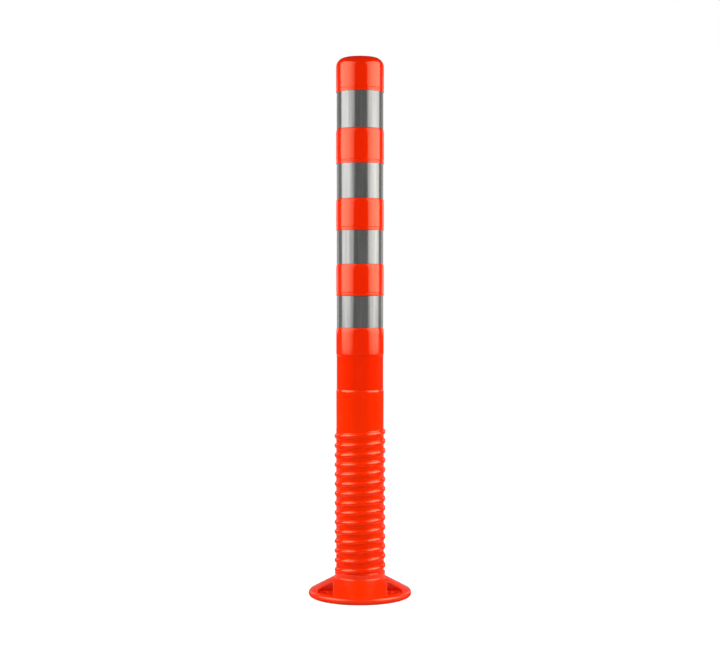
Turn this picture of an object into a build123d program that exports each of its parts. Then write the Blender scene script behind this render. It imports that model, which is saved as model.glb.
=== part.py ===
"""Flexible delineator post for roads.

A bolt-down base carries a ribbed, bendable section and a collar. An upper tube plugs into the
collar, carries four reflective bands, and is closed by a domed cap.
Millimetres, +Z up, -Y is the front. The origin is the centre of the base's underside.
"""

import os
from math import cos, radians, sin, sqrt

from build123d import *

# Overall
POST_HEIGHT = 914.0  # ground to the top of the cap
SEAT_D = 77.2  # outside of the tube where the film sits; the post's other diameters follow it
FACE_RISE = 1.8  # film's seat to the face of cap, lands, collar and ribbed wall, on the radius

# Base
BASE_D = 175.0  # round base, over its edge
BASE_HEIGHT = 40.9  # ground to the lowest turn of the rib, neck included
CONE_FOOT = 8.6  # height of the cone at the base's edge
NECK_HEIGHT = 8.2  # straight neck above the cone
NECK_RISE = 2.4  # ribbed wall to the face of the neck, on the radius
RIM_ROUND = 5.5  # rounding of the base's upper edge
FOOT_ROUND = 4.2  # rounding of the base's lower edge
NECK_ROUND = 3.5  # hollow rounding between the cone and the neck
LOWER_WALL = 4.5  # wall of the ribbed section and of the collar

# Anchoring
BOLT_COUNT = 3
BOLT_CIRCLE_D = 134.0
BOLT_HOLE_D = 11.0  # clearance for an M10 anchor bolt
POCKET_FLOOR = 11.0  # height of the seat under a bolt head
POCKET_WIDTH = 26.0  # between the pocket's two straight walls
POCKET_TO_END = 10.0  # bolt axis to the pocket's closed end
POCKET_ROUND = 3.0  # closed-end corner that lies towards the post's axis
POCKET_SIDE_ROUND = 9.0  # closed-end corner that lies away from it
HOLE_ROUND = 1.0  # upper edge of a bolt hole

# Ribbed section
RIB_TURNS = 15
RIB_PITCH = 16.33
RIB_HEIGHT = 3.0  # outside the wall between the ribs
RIB_WIDTH = 8.5  # at the foot of the rib
RIB_SINK = 1.2  # how far the rib runs into the wall below it
RIB_START = 90.0  # degrees round from +X to where the rib leaves the base

# Collar and the joint above it
COLLAR_HEIGHT = 66.35  # last rib turn to the ledge
LEDGE_ROUND = 5.0  # height of the collar's rounded upper edge
SPIGOT_WALL = 2.8
SPIGOT_LENGTH = 45.0
SPIGOT_CLEARANCE = 0.1  # spigot to socket on the radius, for bonding
SOCKET_END_GAP = 1.0  # spigot's end to the socket's floor

# Upper tube
TUBE_WALL = 3.7  # behind the film
PLAIN_RISE = 1.0  # seat to the plain length below the lowest land, on the radius
LAND_SHOULDER = 8.0  # height of the rounded upper end of a land
LAND_GROOVE_RISE = 5.2  # groove's centre above a land's lower edge
LAND_GROOVE_WIDTH = 2.6
LAND_GROOVE_DEPTH = 0.6
# Bands, lands and the plain length share the tube above the ledge in proportion to these
BAND_HEIGHTS = (61.9, 59.1, 56.75, 54.0)  # seats of the film, from the top down
LAND_HEIGHTS = (58.6, 53.4, 53.55, 50.0)  # the raised land below each seat
PLAIN_HEIGHT = 54.9  # lowest land to the ledge

# Reflective film
FILM_THICKNESS = 0.4
FILM_GLUE = 0.3  # adhesive layer between the seat and the film
FILM_EDGE_GAP = 0.2  # film's edge to the land beside it
FILM_SEAM = 1.0  # gap between the film's two ends, at the back

# Cap
CAP_HEIGHT = 59.6  # lower edge to top
CAP_CORNER = 16.0
CAP_CROWN = 1.0  # rise of the top from its corner to its middle
CAP_WALL = 4.0
CAP_SEAT = 4.0  # thickness of the ring that sits on the tube's end
PLUG_LENGTH = 30.0
PLUG_CLEARANCE = 0.1  # on the radius
PLUG_WALL = 3.0

# Levels and radii that follow from these
BASE_R = BASE_D / 2
CONE_TOP = BASE_HEIGHT - NECK_HEIGHT
SEAT_R = SEAT_D / 2
FACE_R = SEAT_R + FACE_RISE
NECK_R = FACE_R + NECK_RISE
PLAIN_R = SEAT_R + PLAIN_RISE
TUBE_BORE_R = SEAT_R - TUBE_WALL
LOWER_BORE_R = FACE_R - LOWER_WALL
SPIGOT_R = TUBE_BORE_R + SPIGOT_WALL
SOCKET_R = SPIGOT_R + SPIGOT_CLEARANCE
RIB_TOP = BASE_HEIGHT + RIB_TURNS * RIB_PITCH
LEDGE = RIB_TOP + COLLAR_HEIGHT
SPIGOT_FOOT = LEDGE - SPIGOT_LENGTH
SOCKET_FLOOR = SPIGOT_FOOT - SOCKET_END_GAP
TUBE_TOP = POST_HEIGHT - CAP_HEIGHT
TUBE_SHARE = (TUBE_TOP - LEDGE) / (sum(BAND_HEIGHTS) + sum(LAND_HEIGHTS) + PLAIN_HEIGHT)

os.makedirs("parts", exist_ok=True)


def corner_at(sketch, place):
    """The corner of a sketch that is nearest to a place in its plane."""
    return sketch.vertices().sort_by_distance(place)[0]


def save(solid, label):
    """Name a finished piece and write its file."""
    solid.label = label
    export_step(solid, f"parts/{label}.step")


# Base: a cone with a rounded rim, and a neck for the ribbed section
with BuildPart() as base_flange:
    with BuildSketch(Plane.XZ) as base_profile:
        with BuildLine():
            Polyline(
                (LOWER_BORE_R, 0),
                (BASE_R, 0),
                (BASE_R, CONE_FOOT),
                (NECK_R, CONE_TOP),
                (NECK_R, BASE_HEIGHT),
                (LOWER_BORE_R, BASE_HEIGHT),
                close=True,
            )
        make_face()
        fillet(corner_at(base_profile, (BASE_R, 0)), radius=FOOT_ROUND)
        fillet(corner_at(base_profile, (BASE_R, CONE_FOOT)), radius=RIM_ROUND)
        fillet(corner_at(base_profile, (NECK_R, CONE_TOP)), radius=NECK_ROUND)
    revolve(axis=Axis.Z)
    # Each pocket is open towards the front or the back, the way the two mould halves part
    for number in range(BOLT_COUNT):
        angle = radians(90 + number * 360 / BOLT_COUNT)
        bolt_x = BOLT_CIRCLE_D / 2 * cos(angle)
        bolt_y = BOLT_CIRCLE_D / 2 * sin(angle)
        outward = 1 if bolt_y > 0 else -1
        closed_end = bolt_y - outward * POCKET_TO_END
        with BuildSketch(Plane.XY.offset(POCKET_FLOOR)) as pocket:
            with BuildLine():
                Polyline(
                    (bolt_x - POCKET_WIDTH / 2, outward * BASE_R),
                    (bolt_x - POCKET_WIDTH / 2, closed_end),
                    (bolt_x + POCKET_WIDTH / 2, closed_end),
                    (bolt_x + POCKET_WIDTH / 2, outward * BASE_R),
                    close=True,
                )
            make_face()
            for side in (-1, 1):
                to_axis = side * bolt_x < -POCKET_ROUND
                fillet(
                    corner_at(pocket, (bolt_x + side * POCKET_WIDTH / 2, closed_end)),
                    radius=POCKET_ROUND if to_axis else POCKET_SIDE_ROUND,
                )
        extrude(amount=BASE_HEIGHT, mode=Mode.SUBTRACT)
    with PolarLocations(BOLT_CIRCLE_D / 2, BOLT_COUNT, start_angle=90):
        Cylinder(
            BOLT_HOLE_D / 2,
            BASE_HEIGHT,
            align=(Align.CENTER, Align.CENTER, Align.MIN),
            mode=Mode.SUBTRACT,
        )
    on_floors = base_flange.edges().filter_by_position(Axis.Z, POCKET_FLOOR, POCKET_FLOOR)
    hole_edges = on_floors.filter_by(lambda edge: edge.is_closed)
    fillet(hole_edges, radius=HOLE_ROUND)
save(base_flange.part, "base_flange")

# Ribbed section: one turn of the wall with its share of the spiral rib
with BuildPart() as rib_turn:
    spiral_foot = BASE_HEIGHT - (1 + RIB_START / 360) * RIB_PITCH
    crest_r = RIB_HEIGHT / 2 + RIB_WIDTH**2 / (8 * RIB_HEIGHT)
    sunk_half = sqrt(crest_r**2 - (crest_r - RIB_HEIGHT - RIB_SINK) ** 2)
    with BuildLine(Plane.XY.offset(spiral_foot)) as spiral:
        Helix(pitch=RIB_PITCH, height=3 * RIB_PITCH, radius=FACE_R)
    with BuildSketch(Plane(spiral.line @ 0, x_dir=(1, 0, 0), z_dir=spiral.line % 0)):
        with BuildLine():
            ThreePointArc((-RIB_SINK, -sunk_half), (RIB_HEIGHT, 0), (-RIB_SINK, sunk_half))
            Line((-RIB_SINK, sunk_half), (-RIB_SINK, -sunk_half))
        make_face()
    sweep(path=spiral.line, is_frenet=True)
    with Locations((0, 0, BASE_HEIGHT)):
        Cylinder(
            BASE_R,
            RIB_PITCH,
            align=(Align.CENTER, Align.CENTER, Align.MIN),
            mode=Mode.INTERSECT,
        )
        Cylinder(FACE_R, RIB_PITCH, align=(Align.CENTER, Align.CENTER, Align.MIN))
        Cylinder(
            LOWER_BORE_R,
            RIB_PITCH,
            align=(Align.CENTER, Align.CENTER, Align.MIN),
            mode=Mode.SUBTRACT,
        )
for turn in range(RIB_TURNS):
    save(rib_turn.part.moved(Location((0, 0, turn * RIB_PITCH))), f"rib_turn_{turn + 1:02d}")

# Collar: plain length with the socket for the upper tube
with BuildPart() as collar:
    with BuildSketch(Plane.XZ):
        with BuildLine():
            Polyline(
                (PLAIN_R, LEDGE),
                (SOCKET_R, LEDGE),
                (SOCKET_R, SOCKET_FLOOR),
                (LOWER_BORE_R, SOCKET_FLOOR),
                (LOWER_BORE_R, RIB_TOP),
                (FACE_R, RIB_TOP),
                (FACE_R, LEDGE - LEDGE_ROUND),
            )
            EllipticalCenterArc(
                (PLAIN_R, LEDGE - LEDGE_ROUND),
                FACE_R - PLAIN_R,
                LEDGE_ROUND,
                arc_size=90,
            )
        make_face()
    revolve(axis=Axis.Z)
save(collar.part, "collar")

# Levels of each seat's top, of the land below it and of that land's foot, from the top down
tube_levels = []
level = TUBE_TOP
for band_height, land_height in zip(BAND_HEIGHTS, LAND_HEIGHTS):
    seat_top = level
    land_top = seat_top - TUBE_SHARE * band_height
    level = land_top - TUBE_SHARE * land_height
    tube_levels.append((seat_top, land_top, level))
plain_top = level

# Upper tube: spigot, plain length, then a land below each seat
with BuildPart() as upper_tube:
    with BuildSketch(Plane.XZ) as tube_profile:
        with BuildLine():
            Polyline(
                (PLAIN_R, plain_top),
                (PLAIN_R, LEDGE),
                (SPIGOT_R, LEDGE),
                (SPIGOT_R, SPIGOT_FOOT),
                (TUBE_BORE_R, SPIGOT_FOOT),
                (TUBE_BORE_R, TUBE_TOP),
                (SEAT_R, TUBE_TOP),
            )
            for seat_top, land_top, land_foot in tube_levels:
                groove = land_foot + LAND_GROOVE_RISE
                Line((SEAT_R, seat_top), (SEAT_R, land_top))
                EllipticalCenterArc(
                    (SEAT_R, land_top - LAND_SHOULDER),
                    FACE_RISE,
                    LAND_SHOULDER,
                    arc_size=90,
                )
                Line((FACE_R, land_top - LAND_SHOULDER), (FACE_R, groove + LAND_GROOVE_WIDTH / 2))
                ThreePointArc(
                    (FACE_R, groove + LAND_GROOVE_WIDTH / 2),
                    (FACE_R - LAND_GROOVE_DEPTH, groove),
                    (FACE_R, groove - LAND_GROOVE_WIDTH / 2),
                )
                Polyline(
                    (FACE_R, groove - LAND_GROOVE_WIDTH / 2),
                    (FACE_R, land_foot),
                    (PLAIN_R if land_foot == plain_top else SEAT_R, land_foot),
                )
        make_face()
    revolve(axis=Axis.Z)
save(upper_tube.part, "upper_tube")

# Reflective film, one wrap in each seat
for number, (seat_top, land_top, land_foot) in enumerate(tube_levels, 1):
    with BuildPart() as film:
        with BuildSketch(Plane.XY.offset(land_top + FILM_EDGE_GAP)):
            Circle(SEAT_R + FILM_GLUE + FILM_THICKNESS)
            Circle(SEAT_R + FILM_GLUE, mode=Mode.SUBTRACT)
            with Locations((0, SEAT_R)):
                Rectangle(FILM_SEAM, SEAT_R, mode=Mode.SUBTRACT)
        extrude(amount=seat_top - land_top - 2 * FILM_EDGE_GAP)
    save(film.part, f"reflective_band_{number}")

# Cap: a domed shell whose plug sits in the tube
with BuildPart() as top_cap:
    with BuildSketch(Plane.XZ) as cap_profile:
        plug_r = TUBE_BORE_R - PLUG_CLEARANCE
        shoulder = POST_HEIGHT - CAP_CROWN - CAP_CORNER
        groove = TUBE_TOP + LAND_GROOVE_RISE
        with BuildLine():
            Line((0, POST_HEIGHT - CAP_WALL), (FACE_R - CAP_CORNER, POST_HEIGHT - CAP_CROWN - CAP_WALL))
            CenterArc((FACE_R - CAP_CORNER, shoulder), CAP_CORNER - CAP_WALL, 0, 90)
            Polyline(
                (FACE_R - CAP_WALL, shoulder),
                (FACE_R - CAP_WALL, TUBE_TOP + CAP_SEAT + CAP_WALL),
                (plug_r - PLUG_WALL, TUBE_TOP + CAP_SEAT),
                (plug_r - PLUG_WALL, TUBE_TOP - PLUG_LENGTH),
                (plug_r, TUBE_TOP - PLUG_LENGTH),
                (plug_r, TUBE_TOP),
                (FACE_R, TUBE_TOP),
                (FACE_R, groove - LAND_GROOVE_WIDTH / 2),
            )
            ThreePointArc(
                (FACE_R, groove - LAND_GROOVE_WIDTH / 2),
                (FACE_R - LAND_GROOVE_DEPTH, groove),
                (FACE_R, groove + LAND_GROOVE_WIDTH / 2),
            )
            Line((FACE_R, groove + LAND_GROOVE_WIDTH / 2), (FACE_R, shoulder))
            CenterArc((FACE_R - CAP_CORNER, shoulder), CAP_CORNER, 0, 90)
            Line((FACE_R - CAP_CORNER, POST_HEIGHT - CAP_CROWN), (0, POST_HEIGHT))
            Line((0, POST_HEIGHT), (0, POST_HEIGHT - CAP_WALL))
        make_face()
    revolve(axis=Axis.Z)
save(top_cap.part, "top_cap")
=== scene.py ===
# %% [markdown]
# # A flexible delineator post
# This post marks the edge of a traffic lane and folds flat when a wheel runs over it.
# A moulded orange base is bolted to the road, a ribbed section above it does the bending,
# and a stiff tube with four silver reflective bands and a domed cap stands on top.
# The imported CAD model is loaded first. Everything below is made in its frame, in metres,
# with the middle of the base at the origin and Z up.

# %% Load the frame
import math

import bpy
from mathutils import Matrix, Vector


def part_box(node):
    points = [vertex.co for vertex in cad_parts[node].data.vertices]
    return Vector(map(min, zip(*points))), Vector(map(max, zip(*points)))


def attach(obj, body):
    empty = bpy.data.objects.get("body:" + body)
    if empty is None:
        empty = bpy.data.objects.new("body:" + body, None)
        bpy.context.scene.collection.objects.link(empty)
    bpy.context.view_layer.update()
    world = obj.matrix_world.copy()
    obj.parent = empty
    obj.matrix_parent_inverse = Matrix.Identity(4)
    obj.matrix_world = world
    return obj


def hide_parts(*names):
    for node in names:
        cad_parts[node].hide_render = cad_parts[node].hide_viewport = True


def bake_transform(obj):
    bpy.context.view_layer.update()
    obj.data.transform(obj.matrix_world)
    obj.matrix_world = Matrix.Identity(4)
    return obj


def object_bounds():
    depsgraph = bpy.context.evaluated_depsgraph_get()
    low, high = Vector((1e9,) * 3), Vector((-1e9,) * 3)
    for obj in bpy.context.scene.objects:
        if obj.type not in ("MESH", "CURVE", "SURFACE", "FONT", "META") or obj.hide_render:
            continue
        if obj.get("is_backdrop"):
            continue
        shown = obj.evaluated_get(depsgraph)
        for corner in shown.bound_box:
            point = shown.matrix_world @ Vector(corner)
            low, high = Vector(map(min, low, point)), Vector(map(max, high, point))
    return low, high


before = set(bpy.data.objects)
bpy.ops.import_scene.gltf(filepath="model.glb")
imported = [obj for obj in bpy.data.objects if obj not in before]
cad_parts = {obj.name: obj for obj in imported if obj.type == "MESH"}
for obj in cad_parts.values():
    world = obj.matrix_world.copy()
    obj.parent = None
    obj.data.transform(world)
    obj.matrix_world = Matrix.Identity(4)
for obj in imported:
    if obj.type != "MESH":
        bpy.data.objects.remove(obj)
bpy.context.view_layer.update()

MM = 0.001

# %% [markdown]
# ## The camera
# The post was photographed from a little over half its height, with a long lens that looks
# slightly down: the rings at the top curve one way and the base's top shows as a thin oval.
# The lens is worked out from the image's width of 720 pixels on a sensor 36 mm wide.

# %% Camera
IMAGE_WIDTH = 720
SENSOR_WIDTH = 36
FOCAL_PIXELS = 1470
CAMERA_AWAY = 2.499
CAMERA_HEIGHT = 0.528
CAMERA_DOWN = math.radians(1.724)

bpy.ops.object.select_all(action="DESELECT")
bpy.ops.object.camera_add(
    location=(0, -CAMERA_AWAY, CAMERA_HEIGHT),
    rotation=(math.pi / 2 - CAMERA_DOWN, 0, 0),
)
camera = bpy.context.object
camera.name = "camera"
camera.data.sensor_width = SENSOR_WIDTH
camera.data.lens = SENSOR_WIDTH * FOCAL_PIXELS / IMAGE_WIDTH
bpy.context.scene.camera = camera
print("lens", round(camera.data.lens, 2), "mm")

# %% [markdown]
# ## Colours and nodes
# Three small helpers serve every material. Hex colours are what a paint chart or a photograph
# gives, and Blender calculates with linear light, so the first one converts them.
# The second one adds a node, fills in its settings and links its inputs, and the third one starts
# an empty material.

# %% Helpers for materials
def linear(hex_colour):
    """Linear RGBA of an sRGB hex colour."""
    parts = [int(hex_colour[i:i + 2], 16) / 255 for i in (1, 3, 5)]
    light = [p / 12.92 if p <= 0.04045 else ((p + 0.055) / 1.055) ** 2.4 for p in parts]
    return (*light, 1.0)


def add_node(tree, kind, settings=None, links=None):
    """A new node with its settings (properties or sockets) and its linked inputs."""
    node = tree.nodes.new(kind)
    for name, value in (settings or {}).items():
        if isinstance(name, str) and hasattr(node, name):
            setattr(node, name, value)
        else:
            node.inputs[name].default_value = value
    for name, source in (links or {}).items():
        tree.links.new(source, node.inputs[name])
    return node


def new_material(name):
    """An empty node material and its output node."""
    material = bpy.data.materials.new(name)
    material.use_nodes = True
    material.node_tree.nodes.clear()
    output = add_node(material.node_tree, "ShaderNodeOutputMaterial")
    return material, material.node_tree, output


print("orange written #E62600 is", [round(c, 4) for c in linear("#E62600")])

# %% [markdown]
# ## The studio
# The post stands in a plain white studio. The world is white to the camera and to reflections,
# and only moderately bright as a light, so that colours render about as they are written. It
# gives least light from overhead, where such a studio has a dark ceiling.
# The floor is pale, shows the post's shadow and fades to the same white further out, so no
# horizon line crosses the picture.

# %% World and floor
AMBIENT = 0.18
DARK_CEILING = 0.6
STUDIO_SIDES = 96
FLOOR_R = 30
FLOOR_DROP = 0.0002
GLOW_NEAR = 0.40
GLOW_FROM = 0.2
GLOW_FULL = 1.3


def seen_rays(tree):
    """A socket that is 1 for what is seen, straight or mirrored or through, and 0 for lighting."""
    path = add_node(tree, "ShaderNodeLightPath")
    seen = add_node(tree, "ShaderNodeMath", {"operation": "MAXIMUM"},
                    {0: path.outputs["Is Camera Ray"], 1: path.outputs["Is Glossy Ray"]})
    seen = add_node(tree, "ShaderNodeMath", {"operation": "MAXIMUM"},
                    {0: seen.outputs[0], 1: path.outputs["Is Transmission Ray"]})
    return seen.outputs[0]


scene = bpy.context.scene
scene.view_settings.view_transform = "Standard"

world = bpy.data.worlds.new("studio_white")
scene.world = world
world.use_nodes = True
world.node_tree.nodes.clear()
place = add_node(world.node_tree, "ShaderNodeTexCoord")
way = add_node(world.node_tree, "ShaderNodeSeparateXYZ", links={0: place.outputs["Object"]})
ambient = add_node(world.node_tree, "ShaderNodeMapRange",
                   {"From Min": 0.0, "From Max": DARK_CEILING, "To Min": AMBIENT, "To Max": 0.0},
                   {"Value": way.outputs["Z"]})
level = add_node(world.node_tree, "ShaderNodeMapRange", {"To Max": 1.0},
                 {"Value": seen_rays(world.node_tree), "To Min": ambient.outputs[0]})
sky = add_node(world.node_tree, "ShaderNodeBackground", {"Color": linear("#FFFFFF")},
               {"Strength": level.outputs[0]})
add_node(world.node_tree, "ShaderNodeOutputWorld", links={"Surface": sky.outputs[0]})

bpy.ops.object.select_all(action="DESELECT")
bpy.ops.mesh.primitive_circle_add(vertices=STUDIO_SIDES, radius=FLOOR_R, fill_type="NGON",
                                  location=(0, 0, -FLOOR_DROP))
floor = bpy.context.object
floor.name = "studio_floor"
bpy.ops.object.transform_apply(location=True, rotation=True, scale=True)
floor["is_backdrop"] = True

# Painted plywood: matt and pale grey. A white glow that grows with the distance from the post tops
# it up to the white of the backdrop.
floor_paint, tree, output = new_material("matt_floor_paint")
place = add_node(tree, "ShaderNodeTexCoord")
away = add_node(tree, "ShaderNodeVectorMath", {"operation": "LENGTH"}, {0: place.outputs["Object"]})
fade = add_node(tree, "ShaderNodeMapRange",
                {"interpolation_type": "SMOOTHSTEP", "From Min": GLOW_FROM, "From Max": GLOW_FULL,
                 "To Min": GLOW_NEAR, "To Max": 1.0},
                {"Value": away.outputs["Value"]})
glow_level = add_node(tree, "ShaderNodeMath", {"operation": "MULTIPLY"},
                      {0: fade.outputs[0], 1: seen_rays(tree)})
paint = add_node(tree, "ShaderNodeBsdfDiffuse", {"Color": linear("#DCDCDA")})
glow = add_node(tree, "ShaderNodeEmission", {"Color": linear("#FFFFFF")}, {"Strength": glow_level.outputs[0]})
both = add_node(tree, "ShaderNodeAddShader", links={0: paint.outputs[0], 1: glow.outputs[0]})
tree.links.new(both.outputs[0], output.inputs["Surface"])
floor.data.materials.append(floor_paint)
print("floor", [round(d, 1) for d in floor.dimensions])

# %% [markdown]
# ## Painted shade for reflections
# A glossy round post mirrors nearly the whole room. Its middle is dark, which means that the side
# of the studio where the camera stood was unlit. That unlit side is painted shade here: part of a dark,
# faintly glowing sphere with two gaps behind the post, where the white backdrop draws a thin bright
# line along its edges. A sheet on the floor carries a painted shadow near the base and a painted pool
# of lamplight in a paler ring, which the undersides of the ribs mirror. Only reflections see
# them: they throw no shadow and the camera looks through.

# %% Painted shade sheets for reflections
SHEET_R = 2.0
GAP_BEHIND = 1.3
GAP_ASIDE = 0.85
GAP_ABOVE = 0.45
SHEET_HOLE = 0.085
SHEET_LIFT = 0.0004
SAME_POINT = 1e-6

bpy.ops.object.select_all(action="DESELECT")
bpy.ops.mesh.primitive_uv_sphere_add(segments=STUDIO_SIDES, ring_count=STUDIO_SIDES // 2, radius=SHEET_R,
                                     location=(0, 0, 0))
shade_sheet = bpy.context.object
shade_sheet.name = "reflected_studio_shade"
bpy.ops.object.mode_set(mode="EDIT")
bpy.ops.mesh.select_all(action="SELECT")
bpy.ops.mesh.bisect(plane_co=(0, 0, 1 * MM), plane_no=(0, 0, 1), clear_inner=True, threshold=SAME_POINT)
bpy.ops.mesh.select_mode(type="FACE")
bpy.ops.mesh.select_all(action="DESELECT")
bpy.ops.object.mode_set(mode="OBJECT")
for face in shade_sheet.data.polygons:
    face.select = (face.center.y > GAP_BEHIND and abs(face.center.x) > GAP_ASIDE
                   and face.center.z > GAP_ABOVE)
bpy.ops.object.mode_set(mode="EDIT")
bpy.ops.mesh.delete(type="FACE")
bpy.ops.object.mode_set(mode="OBJECT")

bpy.ops.object.select_all(action="DESELECT")
bpy.ops.mesh.primitive_circle_add(vertices=STUDIO_SIDES, radius=SHEET_R, fill_type="NGON",
                                  location=(0, 0, 0))
floor_light_sheet = bpy.context.object
floor_light_sheet.name = "floor_light_sheet"
bpy.ops.object.mode_set(mode="EDIT")
bpy.ops.mesh.select_all(action="SELECT")
bpy.ops.mesh.inset(thickness=SHEET_R - SHEET_HOLE)
bpy.ops.mesh.delete(type="FACE")
bpy.ops.mesh.select_all(action="SELECT")
bpy.ops.transform.translate(value=(0, 0, SHEET_LIFT))
bpy.ops.object.mode_set(mode="OBJECT")

# Painted shade: a glow of a few hundredths for the unlit side of the studio. Near the backdrop the
# glow rises, most of all low down by the pale floor, where it is a painted spill of light.
studio_shade_paint, tree, output = new_material("painted_studio_shade")
place = add_node(tree, "ShaderNodeTexCoord")
parts = add_node(tree, "ShaderNodeSeparateXYZ", links={0: place.outputs["Object"]})
painted_floor_spill = add_node(tree, "ShaderNodeMapRange",
               {"From Min": 0.0, "From Max": 0.2, "To Min": 0.7, "To Max": 0.2},
               {"Value": parts.outputs["Z"]})
spill = add_node(tree, "ShaderNodeMapRange",
                 {"From Min": 1.5, "From Max": 1.9, "To Min": 0.025},
                 {"Value": parts.outputs["Y"], "To Max": painted_floor_spill.outputs[0]})
dark = add_node(tree, "ShaderNodeEmission", {"Color": linear("#FFFFFF")}, {"Strength": spill.outputs[0]})
tree.links.new(dark.outputs[0], output.inputs["Surface"])

# Floor sheet: a glow that paints the floor as reflections see it: painted shade near the base, a painted pool
# of lamplight in a ring, and paler towards the backdrop. The levels are given against metres from the post.
FLOOR_LIGHT_LEVELS = ((0.1, 0.01), (0.125, 0.02), (0.14, 0.65), (0.205, 0.65), (0.235, 0.03), (1.0, 0.03))
painted_floor_light_and_shade, tree, output = new_material("painted_floor_light_and_shade")
place = add_node(tree, "ShaderNodeTexCoord")
away = add_node(tree, "ShaderNodeVectorMath", {"operation": "LENGTH"}, {0: place.outputs["Object"]})
lit = add_node(tree, "ShaderNodeFloatCurve", links={"Value": away.outputs["Value"]})
line = lit.mapping.curves[0]
for at, level in FLOOR_LIGHT_LEVELS[1:-1]:
    line.points.new(at, level)
for point, stop in zip(line.points, FLOOR_LIGHT_LEVELS):
    point.location = stop
    point.handle_type = "VECTOR"
lit.mapping.update()
parts = add_node(tree, "ShaderNodeSeparateXYZ", links={0: place.outputs["Object"]})
behind = add_node(tree, "ShaderNodeMapRange",
                  {"From Min": 0.2, "From Max": 0.6, "To Min": 0.0, "To Max": 0.28},
                  {"Value": parts.outputs["Y"]})
floor_glow_level = add_node(tree, "ShaderNodeMath", {"operation": "MAXIMUM"}, {0: lit.outputs[0], 1: behind.outputs[0]})
grey = add_node(tree, "ShaderNodeEmission", {"Color": linear("#FFFFFF")}, {"Strength": floor_glow_level.outputs[0]})
tree.links.new(grey.outputs[0], output.inputs["Surface"])

# Both sheets carry painted light and shade that only reflections see.
for hidden, sheet_glow in ((shade_sheet, studio_shade_paint), (floor_light_sheet, painted_floor_light_and_shade)):
    hidden.visible_camera = False
    hidden.visible_diffuse = False
    hidden.visible_shadow = False
    hidden.data.materials.append(sheet_glow)
    hidden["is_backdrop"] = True
    print(hidden.name, "faces", len(hidden.data.polygons))

# %% [markdown]
# ## Two soft boxes
# The two tall bright stripes on the tube are reflections of soft boxes that stood left and right
# of the post and leaned over it. They are area lamps. The stripes are not even: they fade towards
# the middle of the post and a little towards its edge and downwards, because a real soft box is
# brightest in front of its flash tube. A lamp's own nodes give that: its Parametric coordinate
# runs from edge to edge of the panel.

# %% Soft boxes
BOX_AWAY = 0.922
BOX_HEIGHT = 0.912
BOX_TALL = 1.22
BOX_LEAN = math.radians(25)
UP_THE_BOX = ((0.0, 0.62), (0.3, 1.0), (0.6, 0.94), (1.0, 0.65))


def soft_box(name, round_post, wide, power, tint, across):
    """A leaning panel at an angle round the post; across are its levels from front to back."""
    side = 1 if round_post > 0 else -1
    reach = Vector((math.sin(round_post), -math.cos(round_post), 0))
    aim = -reach * math.cos(BOX_LEAN) - Vector((0, 0, math.sin(BOX_LEAN)))
    bpy.ops.object.select_all(action="DESELECT")
    bpy.ops.object.light_add(type="AREA", location=reach * BOX_AWAY + Vector((0, 0, BOX_HEIGHT)))
    lamp = bpy.context.object
    lamp.name = name
    lamp.rotation_euler = aim.to_track_quat("-Z", "Y").to_euler()
    lamp.visible_camera = False
    lamp.data.shape = "RECTANGLE"
    lamp.data.size = wide
    lamp.data.size_y = BOX_TALL
    lamp.data.energy = power
    lamp.data.color = linear(tint)[:3]
    lamp.data.use_nodes = True
    nodes = lamp.data.node_tree
    nodes.nodes.clear()
    panel = add_node(nodes, "ShaderNodeNewGeometry")
    place = add_node(nodes, "ShaderNodeSeparateXYZ", links={0: panel.outputs["Parametric"]})
    levels = []
    for axis, stops in (("X", across), ("Y", UP_THE_BOX)):
        curve = add_node(nodes, "ShaderNodeFloatCurve", links={"Value": place.outputs[axis]})
        line = curve.mapping.curves[0]
        for at, level in stops[1:-1]:
            line.points.new(at, level)
        if axis == "X" and side < 0:
            stops = [(1 - at, level) for at, level in reversed(stops)]
        for point, stop in zip(line.points, stops):
            point.location = stop
        curve.mapping.update()
        levels.append(curve.outputs[0])
    even = add_node(nodes, "ShaderNodeMath", {"operation": "MULTIPLY"}, {0: levels[0], 1: levels[1]})
    glow = add_node(nodes, "ShaderNodeEmission", links={"Strength": even.outputs[0]})
    add_node(nodes, "ShaderNodeOutputLight", links={"Surface": glow.outputs[0]})
    return lamp


left_box = soft_box("soft_box_left", math.radians(-66), 1.50, 26, "#FFFFFD",
                    ((0.0, 0.25), (0.2, 0.50), (0.42, 0.85), (0.65, 0.94), (1.0, 0.40)))
right_box = soft_box("soft_box_right", math.radians(73), 1.39, 25, "#FFFEF8",
                     ((0.0, 0.34), (0.2, 0.68), (0.42, 0.97), (0.65, 0.96), (1.0, 0.42)))
print("soft boxes at", [round(c, 2) for c in left_box.location], [round(c, 2) for c in right_box.location])

# %% [markdown]
# The lower half of the post is as bright as the upper one, although the soft boxes hang high.
# White cards that stand on the floor, one in front of the post and one on either side of its base,
# throw light back at it, and two tall boards further out light its flanks. They are matt, so they
# light the post without a reflection of their own.

# %% White cards
CARD_WIDE = 0.5

for name, spot, aim_height, tall, power in (
        ("white_card_front", (0, -0.62, 0.36), 0.36, 0.3, 0.6),
        ("white_card_left", (-0.55, 0.25, 0.30), 0.08, 0.3, 0.5),
        ("white_card_right", (0.55, 0.25, 0.30), 0.08, 0.3, 0.5),
        ("white_board_left", (-0.95, 0.30, 0.50), 0.50, 0.9, 5.0),
        ("white_board_right", (0.95, 0.30, 0.50), 0.50, 0.9, 5.0)):
    bpy.ops.object.select_all(action="DESELECT")
    bpy.ops.object.light_add(type="AREA", location=spot)
    card = bpy.context.object
    card.name = name
    card.rotation_euler = (Vector((0, 0, aim_height)) - card.location).to_track_quat("-Z", "Y").to_euler()
    card.visible_camera = False
    card.visible_glossy = False
    card.data.shape = "RECTANGLE"
    card.data.size = CARD_WIDE
    card.data.size_y = tall
    card.data.energy = power
    print(name, "at", [round(c, 2) for c in card.location])
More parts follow.
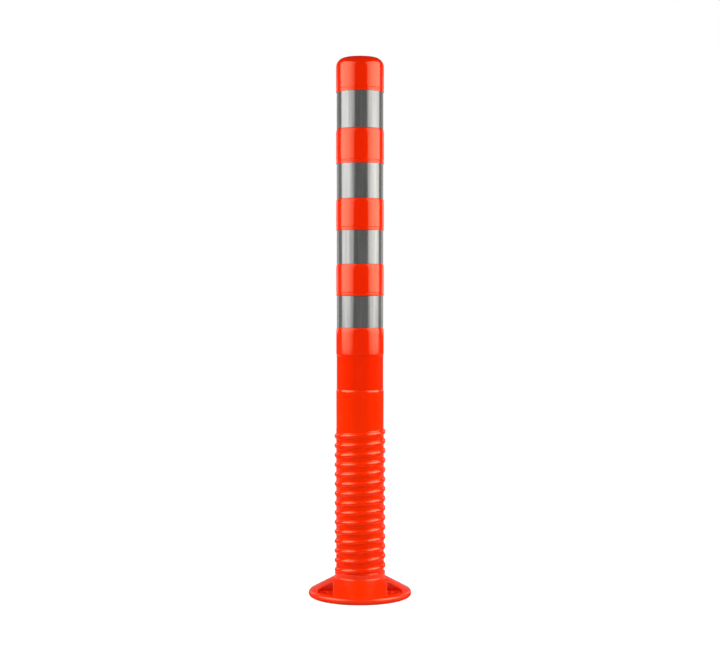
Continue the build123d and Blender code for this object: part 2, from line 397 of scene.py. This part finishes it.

# %% [markdown]
# ## Orange plastics
# The base, the ribbed section and the collar are one moulding in thermoplastic polyurethane, a
# tough rubbery plastic. It is dyed through in signal orange and comes from a polished mould with
# a glossy skin. Close up that skin is not a mirror: it has a shallow orange peel, its gloss
# varies where the melt cooled at different speeds, and the dye is slightly cloudy.
# Noise textures at those sizes give all three. The base's pocket edges are rounded by about a
# millimetre, which a Bevel node can do on a carried-over CAD node without touching its mesh.
# The pocket walls get painted shade: a darker, redder orange stands in for the shade in a pocket and for
# light that bounces between its orange walls and turns redder each time. The walls are found by how far a
# point lies below the line of the cone.

# %% Moulded orange polyurethane
NECK_R = 42.8 * MM
RIM_R = 87.5 * MM
CONE_TOP = 32.7 * MM
CONE_FOOT = 8.6 * MM
POCKET_FLOOR = 11 * MM
RIM_WIDE = 10 * MM


def pocket_shade_mask(tree, place):
    """A socket that is 1 on the walls of the base's pockets, where the painted shade goes, and 0 elsewhere.
    """
    flat = add_node(tree, "ShaderNodeVectorMath", {"operation": "MULTIPLY", 1: (1, 1, 0)},
                    {0: place.outputs["Object"]})
    away = add_node(tree, "ShaderNodeVectorMath", {"operation": "LENGTH"}, {0: flat.outputs[0]})
    parts = add_node(tree, "ShaderNodeSeparateXYZ", links={0: place.outputs["Object"]})
    cone = add_node(tree, "ShaderNodeMapRange",
                    {"From Min": NECK_R, "From Max": RIM_R, "To Min": CONE_TOP, "To Max": CONE_FOOT},
                    {"Value": away.outputs["Value"]})
    below = add_node(tree, "ShaderNodeMath", {"operation": "SUBTRACT"},
                     {0: cone.outputs[0], 1: parts.outputs["Z"]})
    deep = add_node(tree, "ShaderNodeMapRange", {"From Min": 0.8 * MM, "From Max": 3 * MM},
                    {"Value": below.outputs[0]})
    above = add_node(tree, "ShaderNodeMapRange",
                     {"From Min": POCKET_FLOOR + 0.3 * MM, "From Max": POCKET_FLOOR + 2 * MM},
                     {"Value": parts.outputs["Z"]})
    inside = add_node(tree, "ShaderNodeMapRange",
                      {"From Min": RIM_R - RIM_WIDE, "From Max": RIM_R - RIM_WIDE + 2 * MM,
                       "To Min": 1.0, "To Max": 0.0},
                      {"Value": away.outputs["Value"]})
    walls = add_node(tree, "ShaderNodeMath", {"operation": "MULTIPLY"},
                     {0: deep.outputs[0], 1: above.outputs[0]})
    walls = add_node(tree, "ShaderNodeMath", {"operation": "MULTIPLY"},
                     {0: walls.outputs[0], 1: inside.outputs[0]})
    return walls.outputs[0]


def moulded_polyurethane(name, smoothest, roughest, edge_round):
    """Glossy dyed-through moulding; edge_round is for the base, softens its hard edges and adds painted shade
    to its pocket walls.
    """
    material, tree, output = new_material(name)
    place = add_node(tree, "ShaderNodeTexCoord")
    cloud = add_node(tree, "ShaderNodeTexNoise", {"Scale": 1 / (45 * MM), "Detail": 3.0},
                     {"Vector": place.outputs["Object"]})
    dye = add_node(tree, "ShaderNodeMix",
                   {"data_type": "RGBA", 6: linear("#E62600"), 7: linear("#F22B00")},
                   {0: cloud.outputs["Fac"]})
    cooled = add_node(tree, "ShaderNodeTexNoise", {"Scale": 1 / (14 * MM), "Detail": 4.0},
                      {"Vector": place.outputs["Object"]})
    gloss = add_node(tree, "ShaderNodeMapRange",
                     {"From Min": 0.3, "From Max": 0.7, "To Min": smoothest, "To Max": roughest},
                     {"Value": cooled.outputs["Fac"]})
    peel = add_node(tree, "ShaderNodeTexNoise", {"Scale": 1 / (2.5 * MM), "Detail": 1.0},
                    {"Vector": place.outputs["Object"]})
    skin = add_node(tree, "ShaderNodeBump", {"Strength": 0.012, "Distance": 0.3 * MM},
                    {"Height": peel.outputs["Fac"]})
    if edge_round:
        edges = add_node(tree, "ShaderNodeBevel", {"samples": 6, "Radius": edge_round})
        tree.links.new(edges.outputs["Normal"], skin.inputs["Normal"])
        # Painted shade: the pocket walls are mixed towards a darker, redder orange.
        dye = add_node(tree, "ShaderNodeMix", {"data_type": "RGBA", 7: linear("#D01000")},
                       {0: pocket_shade_mask(tree, place), 6: dye.outputs[2]})
    plastic = add_node(tree, "ShaderNodeBsdfPrincipled", {"IOR": 1.57, "Specular Tint": linear("#FFFFD0")},
                       {"Base Color": dye.outputs[2], "Roughness": gloss.outputs[0],
                        "Normal": skin.outputs["Normal"]})
    tree.links.new(plastic.outputs[0], output.inputs["Surface"])
    return material


base_orange = moulded_polyurethane("moulded_orange_polyurethane_base", 0.18, 0.26, 1.0 * MM)
moulded_orange = moulded_polyurethane("moulded_orange_polyurethane", 0.05, 0.08, 0)
print("made", base_orange.name, moulded_orange.name)

# %% [markdown]
# The tube above the collar is made apart from the moulding, drawn through a die and then pressed
# to its stepped shape. Its dye is a shade redder. Drawing leaves very faint lines along the tube,
# so its bump is a noise that is stretched along Z.

# %% Drawn orange tube
tube_orange, tree, output = new_material("drawn_orange_polyurethane")
place = add_node(tree, "ShaderNodeTexCoord")
cloud = add_node(tree, "ShaderNodeTexNoise", {"Scale": 1 / (60 * MM), "Detail": 3.0},
                 {"Vector": place.outputs["Object"]})
dye = add_node(tree, "ShaderNodeMix",
               {"data_type": "RGBA", 6: linear("#E02000"), 7: linear("#EA2500")},
               {0: cloud.outputs["Fac"]})
cooled = add_node(tree, "ShaderNodeTexNoise", {"Scale": 1 / (18 * MM), "Detail": 4.0},
                  {"Vector": place.outputs["Object"]})
gloss = add_node(tree, "ShaderNodeMapRange",
                 {"From Min": 0.3, "From Max": 0.7, "To Min": 0.06, "To Max": 0.10},
                 {"Value": cooled.outputs["Fac"]})
along = add_node(tree, "ShaderNodeMapping", {"vector_type": "POINT", "Scale": (1, 1, 0.02)},
                 {"Vector": place.outputs["Object"]})
draw_lines = add_node(tree, "ShaderNodeTexNoise", {"Scale": 1 / (2 * MM), "Detail": 2.0},
                      {"Vector": along.outputs["Vector"]})
skin = add_node(tree, "ShaderNodeBump", {"Strength": 0.035, "Distance": 0.3 * MM},
                {"Height": draw_lines.outputs["Fac"]})
plastic = add_node(tree, "ShaderNodeBsdfPrincipled", {"IOR": 1.5, "Specular Tint": linear("#FFFFD0")},
                   {"Base Color": dye.outputs[2], "Roughness": gloss.outputs[0],
                    "Normal": skin.outputs["Normal"]})
tree.links.new(plastic.outputs[0], output.inputs["Surface"])
print("made", tube_orange.name)

# %% [markdown]
# ## Reflective film
# The silver bands are self-adhesive reflective film: tiny glass beads on a vapour-coated metal
# layer under a clear skin. In plain light it looks grey and satin, between metal and paint,
# so the shader is mostly metallic. The beads are a tenth of a millimetre, far too fine for
# this picture, so their grain is drawn at half a millimetre. Rubbing the film down along the post
# leaves faint streaks, and film that was wound on by hand is never quite flat, which a longer
# wave shows in the reflections. Both are noises that are stretched along Z.

# %% Silver reflective film
film_silver, tree, output = new_material("beaded_reflective_film")
place = add_node(tree, "ShaderNodeTexCoord")
beads = add_node(tree, "ShaderNodeTexNoise", {"Scale": 1 / (0.5 * MM), "Detail": 1.0},
                 {"Vector": place.outputs["Object"]})
stretch = add_node(tree, "ShaderNodeMapping", {"vector_type": "POINT", "Scale": (1, 1, 0.03)},
                   {"Vector": place.outputs["Object"]})
rubbed = add_node(tree, "ShaderNodeTexNoise", {"Scale": 1 / (4 * MM), "Detail": 3.0},
                  {"Vector": stretch.outputs["Vector"]})
uneven = add_node(tree, "ShaderNodeMath", {"operation": "MULTIPLY"},
                  {0: beads.outputs["Fac"], 1: rubbed.outputs["Fac"]})
grain = add_node(tree, "ShaderNodeMapRange", {"From Min": 0.12, "From Max": 0.40},
                 {"Value": uneven.outputs[0]})
silver = add_node(tree, "ShaderNodeMix",
                  {"data_type": "RGBA", 6: linear("#6B6B6B"), 7: linear("#888888")},
                  {0: grain.outputs[0]})
wound = add_node(tree, "ShaderNodeTexNoise", {"Scale": 1 / (12 * MM), "Detail": 2.0},
                 {"Vector": stretch.outputs["Vector"]})
waves = add_node(tree, "ShaderNodeBump", {"Strength": 0.08, "Distance": 1.0 * MM},
                 {"Height": wound.outputs["Fac"]})
beaded = add_node(tree, "ShaderNodeBump", {"Strength": 0.04, "Distance": 0.1 * MM},
                  {"Height": beads.outputs["Fac"], "Normal": waves.outputs["Normal"]})
satin = add_node(tree, "ShaderNodeMapRange",
                 {"From Min": 0.3, "From Max": 0.7, "To Min": 0.11, "To Max": 0.15},
                 {"Value": wound.outputs["Fac"]})
film = add_node(tree, "ShaderNodeBsdfPrincipled", {"Metallic": 0.57},
                {"Base Color": silver.outputs[2], "Roughness": satin.outputs[0],
                 "Normal": beaded.outputs["Normal"]})
tree.links.new(film.outputs[0], output.inputs["Surface"])
print("made", film_silver.name)

# %% [markdown]
# ## The base
# The base is a low cone with three pockets for the anchor bolts. Its CAD solid already has the
# right shape, so the node stays and only gets the moulded finish.

# %% Base
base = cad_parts["base_flange"]
for slot in base.material_slots:
    slot.material = base_orange
low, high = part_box("base_flange")
print("base", round((high.x - low.x) / MM, 1), "mm across,", round((high.z - low.z) / MM, 1), "mm high")

# %% [markdown]
# ## The ribbed section: one rib's profile
# A single rounded rib winds up the wall like a screw thread, fifteen turns of it. That makes the
# moulding soft in bending and strong in torsion. In Blender, a thread is a profile with a Screw
# modifier. The profile is drawn as on paper: a circle for the crest, cut off at the wall, a
# straight run of wall above and below it, and a small round in each of the two corners.

# %% Rib profile
WALL_R = 40.7 * MM
RIB_HEIGHT = 2.9 * MM
RIB_WIDTH = 9.0 * MM
RIB_TURNS = 15
RIB_FOOT_ROUND = 1.3 * MM
FOOT_SEGMENTS = 5
CREST_POINTS = 64
RIB_START = -1.25
RIBS_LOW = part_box("rib_turn_01")[0].z
RIBS_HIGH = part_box("rib_turn_15")[1].z
RIB_PITCH = (RIBS_HIGH - RIBS_LOW) / RIB_TURNS
RIB_DROP = 1.55 * MM


def pick(piece, mode, wanted):
    """Enter edit mode with only the vertices selected whose place passes the test."""
    bpy.ops.object.mode_set(mode="EDIT")
    bpy.ops.mesh.select_mode(type=mode)
    bpy.ops.mesh.select_all(action="DESELECT")
    bpy.ops.object.mode_set(mode="OBJECT")
    for vertex in piece.data.vertices:
        vertex.select = wanted(vertex.co)
    if mode == "EDGE":
        for edge in piece.data.edges:
            edge.select = all(piece.data.vertices[i].select for i in edge.vertices)
    bpy.ops.object.mode_set(mode="EDIT")


crest_round = RIB_HEIGHT / 2 + RIB_WIDTH ** 2 / (8 * RIB_HEIGHT)
crest_level = RIBS_LOW + RIB_START * RIB_PITCH - RIB_DROP
bpy.ops.object.select_all(action="DESELECT")
bpy.ops.mesh.primitive_circle_add(
    vertices=CREST_POINTS,
    radius=crest_round,
    fill_type="NOTHING",
    location=(WALL_R + RIB_HEIGHT - crest_round, 0, crest_level),
    rotation=(math.pi / 2, 0, 0),
)
thread = bpy.context.object
thread.name = "rib_thread"
bpy.ops.object.transform_apply(location=True, rotation=True, scale=True)
bpy.ops.object.mode_set(mode="EDIT")
bpy.ops.mesh.select_all(action="SELECT")
bpy.ops.mesh.bisect(plane_co=(WALL_R, 0, 0), plane_no=(1, 0, 0), clear_inner=True, threshold=SAME_POINT)
bpy.ops.object.mode_set(mode="OBJECT")
heights = [vertex.co.z for vertex in thread.data.vertices]
foot_low, foot_high = min(heights), max(heights)
for foot, way in ((foot_low, -1), (foot_high, 1)):
    pick(thread, "VERT", lambda co: abs(co.z - foot) < SAME_POINT)
    bpy.ops.mesh.extrude_vertices_move(
        TRANSFORM_OT_translate={"value": (0, 0, way * (RIB_PITCH - (foot_high - foot_low)) / 2)})
    bpy.ops.object.mode_set(mode="OBJECT")
pick(thread, "VERT", lambda co: min(abs(co.z - foot_low), abs(co.z - foot_high)) < SAME_POINT)
bpy.ops.mesh.bevel(offset=RIB_FOOT_ROUND, segments=FOOT_SEGMENTS, affect="VERTICES", offset_type="OFFSET")
bpy.ops.object.mode_set(mode="OBJECT")
print("rib pitch", round(RIB_PITCH / MM, 3), "mm, profile points", len(thread.data.vertices))

# %% [markdown]
# ## The ribbed section: winding it up
# The Screw modifier winds the profile right-handed, a little further than needed at both ends.
# The rib doesn't stop dead there on the real moulding. At the top it sinks into the collar, so the
# last millimetres are pressed back to the collar's face. At the foot it grows out of the base's neck,
# which is nearly as wide as the rib, so a short edge is drawn out to the neck. An open skin has no
# inside that Blender could find for certain, so the way that its faces point is measured and
# turned if needed.

# %% Wind the thread
THREAD_STEPS = 144
RUN_OUT = 4 * MM
COLLAR_R = 40.4 * MM
NECK_EDGE = 0.8 * MM
NECK_CUTS = 4

screw = thread.modifiers.new("thread", "SCREW")
screw.axis = "Z"
screw.angle = math.tau
screw.screw_offset = RIB_PITCH
screw.iterations = RIB_TURNS + 2
screw.steps = THREAD_STEPS
screw.render_steps = THREAD_STEPS
screw.use_merge_vertices = True
screw.merge_threshold = SAME_POINT
bpy.ops.object.modifier_apply(modifier=screw.name)

bpy.ops.object.mode_set(mode="EDIT")
bpy.ops.mesh.select_all(action="SELECT")
bpy.ops.mesh.remove_doubles(threshold=5 * SAME_POINT)
for level, keep_above in ((RIBS_LOW, True), (RIBS_HIGH, False)):
    bpy.ops.mesh.select_all(action="SELECT")
    bpy.ops.mesh.bisect(plane_co=(0, 0, level), plane_no=(0, 0, 1), clear_inner=keep_above,
                        clear_outer=not keep_above, threshold=SAME_POINT)
for cut in range(1, NECK_CUTS + 1):
    bpy.ops.mesh.select_all(action="SELECT")
    bpy.ops.mesh.bisect(plane_co=(0, 0, RIBS_LOW + NECK_EDGE * cut / NECK_CUTS), plane_no=(0, 0, 1),
                        threshold=SAME_POINT)
bpy.ops.object.mode_set(mode="OBJECT")
for vertex in thread.data.vertices:
    for end_r, end in ((NECK_R, (vertex.co.z - RIBS_LOW) / NECK_EDGE),
                       (COLLAR_R, (RIBS_HIGH - vertex.co.z) / RUN_OUT)):
        end = min(max(end, 0), 1)
        radius = math.hypot(vertex.co.x, vertex.co.y)
        pressed = end_r + (radius - end_r) * end * end * (3 - 2 * end)
        vertex.co.x *= pressed / radius
        vertex.co.y *= pressed / radius
bpy.ops.object.mode_set(mode="EDIT")
bpy.ops.mesh.select_all(action="SELECT")
bpy.ops.mesh.normals_make_consistent(inside=False)
bpy.ops.object.mode_set(mode="OBJECT")
outward = sum((f.normal.x * f.center.x + f.normal.y * f.center.y) * f.area for f in thread.data.polygons)
if outward < 0:
    bpy.ops.object.mode_set(mode="EDIT")
    bpy.ops.mesh.flip_normals()
    bpy.ops.object.mode_set(mode="OBJECT")
bpy.ops.object.shade_smooth()
widest = max(math.hypot(v.co.x, v.co.y) for v in thread.data.vertices)
print("thread faces", len(thread.data.polygons), "widest", round(widest / MM, 2), "mm on the radius")

# %% [markdown]
# ## The ribbed section: fifteen pieces
# The model bends at every turn of the rib, so the skin is cut at the same heights as the solids.
# Each cut gets a wall inwards, and the two inner edges are bridged for the bore, so a piece is
# a closed ring. Its shading is borrowed from the uncut skin by a Data Transfer modifier, so no
# cut can be seen at rest.

# %% Cut the thread into turns
BORE_R = 35.9 * MM
SHARP_CUT = math.radians(50)

for k in range(1, RIB_TURNS + 1):
    foot = RIBS_LOW + (k - 1) * RIB_PITCH
    top = RIBS_LOW + k * RIB_PITCH
    bpy.ops.object.select_all(action="DESELECT")
    thread.select_set(True)
    bpy.context.view_layer.objects.active = thread
    bpy.ops.object.duplicate()
    turn = bpy.context.object
    turn.name = f"ribbed_turn_{k:02d}"
    bpy.ops.object.mode_set(mode="EDIT")
    for level, keep_above in ((foot, True), (top, False)):
        bpy.ops.mesh.select_all(action="SELECT")
        bpy.ops.mesh.bisect(plane_co=(0, 0, level), plane_no=(0, 0, 1), clear_inner=keep_above,
                            clear_outer=not keep_above, threshold=SAME_POINT)
    bpy.ops.object.mode_set(mode="OBJECT")
    skin = turn.vertex_groups.new(name="skin")
    skin.add([v.index for v in turn.data.vertices], 1.0, "REPLACE")
    for level in (foot, top):
        pick(turn, "EDGE",
             lambda co: abs(co.z - level) < SAME_POINT and math.hypot(co.x, co.y) > COLLAR_R - 0.1 * MM)
        bpy.ops.mesh.extrude_region_move(TRANSFORM_OT_translate={"value": (0, 0, 0)})
        bpy.ops.transform.resize(value=(BORE_R / COLLAR_R, BORE_R / COLLAR_R, 1),
                                 center_override=(0, 0, level))
        bpy.ops.object.vertex_group_remove_from()
        bpy.ops.object.mode_set(mode="OBJECT")
    pick(turn, "EDGE", lambda co: math.hypot(co.x, co.y) < COLLAR_R - 1 * MM)
    bpy.ops.mesh.bridge_edge_loops()
    bpy.ops.mesh.select_all(action="SELECT")
    bpy.ops.mesh.normals_make_consistent(inside=False)
    bpy.ops.object.mode_set(mode="OBJECT")
    bpy.ops.object.shade_smooth_by_angle(angle=SHARP_CUT)
    borrow = turn.modifiers.new("skin_shading", "DATA_TRANSFER")
    borrow.object = thread
    borrow.use_loop_data = True
    borrow.data_types_loops = {"CUSTOM_NORMAL"}
    borrow.loop_mapping = "POLYINTERP_NEAREST"
    borrow.vertex_group = skin.name
    bpy.ops.object.modifier_apply(modifier=borrow.name)
    turn.data.materials.append(moulded_orange)
    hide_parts(f"rib_turn_{k:02d}")
    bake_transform(turn)

bpy.ops.object.select_all(action="DESELECT")
thread.select_set(True)
bpy.context.view_layer.objects.active = thread
bpy.ops.object.delete()
print("turns", RIB_TURNS, "faces in the last one", len(turn.data.polygons))

# %% [markdown]
# ## Turned pieces
# Collar, tube and cap are round, so each is made as on a lathe: half of its section is drawn
# point by point with Extrude and spun once round the Z axis. A section is a closed line, wall
# thickness included, so the piece comes out as a solid ring. The spin ends where it began, and
# Merge by Distance closes that seam and any pole on the axis.
# Sizes of turned pieces are in millimetres, as on a workshop drawing.

# %% A lathe
AROUND = 192
SHARP_EDGE = math.radians(35)


def arc(middle, across, up, start, end, points):
    """Points of an elliptical arc, in mm, without its first point."""
    made = []
    for i in range(1, points + 1):
        turn = math.radians(start + (end - start) * i / points)
        made.append((middle[0] + across * math.cos(turn), middle[1] + up * math.sin(turn)))
    return made


def drawn(name, points):
    """A closed line through (x, y, z) points in mm, left selected in edit mode."""
    bpy.ops.object.select_all(action="DESELECT")
    bpy.ops.mesh.primitive_plane_add(size=1 * MM, location=(0, 0, 0))
    piece = bpy.context.object
    piece.name = name
    bpy.ops.object.mode_set(mode="EDIT")
    bpy.ops.mesh.select_mode(type="VERT")
    bpy.ops.mesh.select_all(action="SELECT")
    bpy.ops.mesh.merge(type="CENTER")
    bpy.ops.transform.translate(value=[c * MM for c in points[0]])
    for here, there in zip(points, points[1:] + points[:1]):
        step = [(b - a) * MM for a, b in zip(here, there)]
        bpy.ops.mesh.extrude_vertices_move(TRANSFORM_OT_translate={"value": step})
    bpy.ops.mesh.select_all(action="SELECT")
    bpy.ops.mesh.remove_doubles(threshold=SAME_POINT)
    return piece


def turned(name, section):
    """Spin a closed section of (radius, height) points in mm round the Z axis."""
    piece = drawn(name, [(radius, 0, height) for radius, height in section])
    bpy.ops.mesh.spin(steps=AROUND, angle=math.tau, center=(0, 0, 0), axis=(0, 0, 1))
    bpy.ops.mesh.select_all(action="SELECT")
    bpy.ops.mesh.remove_doubles(threshold=SAME_POINT)
    bpy.ops.mesh.delete_loose(use_verts=True, use_edges=True, use_faces=False)
    bpy.ops.mesh.normals_make_consistent(inside=False)
    bpy.ops.object.mode_set(mode="OBJECT")
    bpy.ops.object.shade_smooth_by_angle(angle=SHARP_EDGE)
    print(name, "faces", len(piece.data.polygons), "mm", [round(d / MM, 2) for d in piece.dimensions])
    return piece


# %% [markdown]
# ## The collar
# The collar is the top of the moulding, the socket that the tube stands in. Its upper edge
# slopes in to meet the tube, and that narrow slope catches a bright line of light. Two support
# points close below the slope keep the shading of the long wall even.

# %% Collar
FACE = COLLAR_R / MM
PLAIN = 39.6
LEDGE = 352.2
LEDGE_SLOPE = 2.2
SLOPE_START = 0.06
SLOPE_END = 0.1
SLOPE_TIP = 0.15
SUPPORT = 1.0
RIBS_END = 285.85
SOCKET = 37.8
SOCKET_FLOOR = 306.2
LOWER_BORE = BORE_R / MM

slope_foot = LEDGE - LEDGE_SLOPE
section = [(FACE, RIBS_END), (FACE, slope_foot - 2 * SUPPORT), (FACE, slope_foot - SUPPORT)]
section += [(FACE - SLOPE_START, slope_foot), (PLAIN + SLOPE_END, LEDGE - SLOPE_TIP), (PLAIN, LEDGE)]
section += [(SOCKET, LEDGE), (SOCKET, SOCKET_FLOOR), (LOWER_BORE, SOCKET_FLOOR), (LOWER_BORE, RIBS_END)]
collar = turned("socket_collar", section)
collar.data.materials.append(moulded_orange)
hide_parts("collar")
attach(collar, "post")

# %% [markdown]
# ## The tube
# From the collar up, the tube is plain for a short length and then carries four raised lands with
# a seat for a film band above each of them. A land starts with a sharp lip below, has a shallow
# ring groove just above that lip, and ends in a long soft shoulder under the band. The lowest
# land runs out in a sloping foot below a faint lip. The lower end of the tube is a thinner spigot
# inside the collar.

# %% Tube with four lands
SEAT = 38.6
TUBE_TOP = 854.4
TUBE_BORE = 34.9
SPIGOT = 37.7
SPIGOT_FOOT = 307.2
SHOULDER = 8.0
GROOVE_RISE = 5.2
GROOVE_WIDE = 2.6
GROOVE_DEEP = 0.6
GROOVE_SUPPORT = 0.6
LIP_ROUND = 0.35
SOFT_START = 0.05
SOFT_LIP = 0.4
SOFT_LIP_RISE = 0.5
LANDS = ((407.1, 457.1), (511.1, 564.65), (621.4, 674.8), (733.9, 792.5))


def lip_and_groove(foot):
    """Outline up from a land's lip to just above its ring groove."""
    groove = foot + GROOVE_RISE
    line = [(FACE - LIP_ROUND, foot)]
    line += arc((FACE - LIP_ROUND, foot + LIP_ROUND), LIP_ROUND, LIP_ROUND, -90, 0, 3)
    line += [(FACE, groove - GROOVE_WIDE / 2 - GROOVE_SUPPORT), (FACE, groove - GROOVE_WIDE / 2)]
    line += arc((FACE, groove), -GROOVE_DEEP, GROOVE_WIDE / 2, -90, 90, 8)
    line += [(FACE, groove + GROOVE_WIDE / 2 + GROOVE_SUPPORT)]
    return line


def soft_foot(foot):
    """Outline up a land's sloping foot to a small lip where the others have their groove."""
    lip = foot + GROOVE_RISE
    return [(PLAIN + SOFT_START, foot), (FACE - SOFT_LIP, lip - SOFT_LIP_RISE),
            (FACE, lip), (FACE, lip + GROOVE_SUPPORT)]


section = [(PLAIN, LEDGE), (PLAIN, LANDS[0][0] - GROOVE_SUPPORT)]
for foot, top in LANDS:
    section += lip_and_groove(foot) if foot > LANDS[0][0] else soft_foot(foot)
    section += [(FACE, top - SHOULDER - SUPPORT), (FACE, top - SHOULDER)]
    section += arc((SEAT, top - SHOULDER), FACE - SEAT, SHOULDER, 0, 90, 10)
    seat_end = min([land[0] for land in LANDS if land[0] > top] + [TUBE_TOP])
    section += [(SEAT, seat_end)]
section += [(TUBE_BORE, TUBE_TOP), (TUBE_BORE, SPIGOT_FOOT), (SPIGOT, SPIGOT_FOOT), (SPIGOT, LEDGE)]
tube = turned("stepped_tube", section)
tube.data.materials.append(tube_orange)
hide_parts("upper_tube")
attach(tube, "post")

# %% [markdown]
# ## The cap
# A domed cap closes the tube. It repeats the lip and the ring groove of the lands, goes up
# straight and rounds over with a large radius to a nearly flat crown. A plug below it, not seen,
# holds it in the bore.

# %% Cap
CROWN = 914.0
CROWN_RISE = 1.0
CROWN_RINGS = 8
CAP_CORNER = 16.0
CAP_WALL = 4.0
CAP_SEAT = 4.0
PLUG = 34.8
PLUG_WALL = 3.0
PLUG_FOOT = 824.4

inside_corner = FACE - CAP_CORNER
shoulder = CROWN - CROWN_RISE - CAP_CORNER
section = lip_and_groove(TUBE_TOP)
section += [(FACE, shoulder - SUPPORT), (FACE, shoulder)]
section += arc((inside_corner, shoulder), CAP_CORNER, CAP_CORNER, 0, 90, 16)
for ring in range(1, CROWN_RINGS + 1):
    radius = inside_corner * (1 - ring / CROWN_RINGS)
    rise = CROWN_RISE * (0.5 + 0.5 * math.cos(math.pi * radius / inside_corner))
    section += [(radius, CROWN - CROWN_RISE + rise)]
section += [(0, CROWN - CAP_WALL), (inside_corner, CROWN - CROWN_RISE - CAP_WALL)]
section += arc((inside_corner, shoulder), CAP_CORNER - CAP_WALL, CAP_CORNER - CAP_WALL, 90, 0, 8)
section += [(FACE - CAP_WALL, TUBE_TOP + CAP_SEAT + CAP_WALL), (PLUG - PLUG_WALL, TUBE_TOP + CAP_SEAT)]
section += [(PLUG - PLUG_WALL, PLUG_FOOT), (PLUG, PLUG_FOOT), (PLUG, TUBE_TOP)]
cap = turned("domed_cap", section)
cap.data.materials.append(tube_orange)
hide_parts("top_cap")
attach(cap, "post")

# %% [markdown]
# ## The film bands
# Each band is a strip of film wound once round its seat, with a short lap at the back where its end
# lies on its beginning. The strip's thin section is spun a little more than one turn, both ends
# are closed, and the end is lifted by one thickness where it runs up on the lap.

# %% Four film bands
FILM_IN = 38.9
FILM_OUT = 39.3
FILM_EDGE = 0.2
LAP = math.radians(12)
WOUND = math.tau + LAP
RUN_UP = math.radians(4)
FILM_STEPS = 200

feet_above = [foot for foot, _ in LANDS[1:]] + [TUBE_TOP]
seats = [(top, foot_above) for (_, top), foot_above in zip(LANDS, feet_above)]
film_nodes = sorted((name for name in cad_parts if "band" in name), key=lambda name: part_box(name)[0].z)
for number, ((low, high), node) in enumerate(zip(seats, film_nodes), 1):
    corners = [(0, FILM_IN, low + FILM_EDGE), (0, FILM_OUT, low + FILM_EDGE),
               (0, FILM_OUT, high - FILM_EDGE), (0, FILM_IN, high - FILM_EDGE)]
    band = drawn(f"film_band_{number}", corners)
    bpy.ops.mesh.spin(steps=FILM_STEPS, angle=WOUND, center=(0, 0, 0), axis=(0, 0, 1))
    bpy.ops.object.mode_set(mode="OBJECT")
    for vertex in band.data.vertices:
        along = WOUND - WOUND * (vertex.index // len(corners)) / FILM_STEPS
        climb = min(max((LAP + RUN_UP - along) / RUN_UP, 0), 1)
        lift = 1 + (FILM_OUT - FILM_IN) / FILM_OUT * climb * climb * (3 - 2 * climb)
        vertex.co.x *= lift
        vertex.co.y *= lift
    print(band.name, "stands for", node, "vertices", len(band.data.vertices))
    bpy.ops.object.mode_set(mode="EDIT")
    bpy.ops.mesh.select_all(action="DESELECT")
    bpy.ops.mesh.select_non_manifold(extend=False, use_wire=False, use_boundary=True,
                                     use_multi_face=False, use_non_contiguous=False, use_verts=False)
    bpy.ops.mesh.fill_holes(sides=len(corners))
    bpy.ops.mesh.select_all(action="SELECT")
    bpy.ops.mesh.normals_make_consistent(inside=False)
    bpy.ops.object.mode_set(mode="OBJECT")
    bpy.ops.object.shade_smooth_by_angle(angle=SHARP_EDGE)
    band.data.materials.append(film_silver)
    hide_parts(node)
    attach(band, "post")

# %% [markdown]
# ## The size
# The box round the dressed post is printed, in millimetres. The dressed post has to stay
# inside the CAD model's box.

# %% Sizes and finish
low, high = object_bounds()
print("visual box in mm", [round(c / MM, 2) for c in low], [round(c / MM, 2) for c in high])
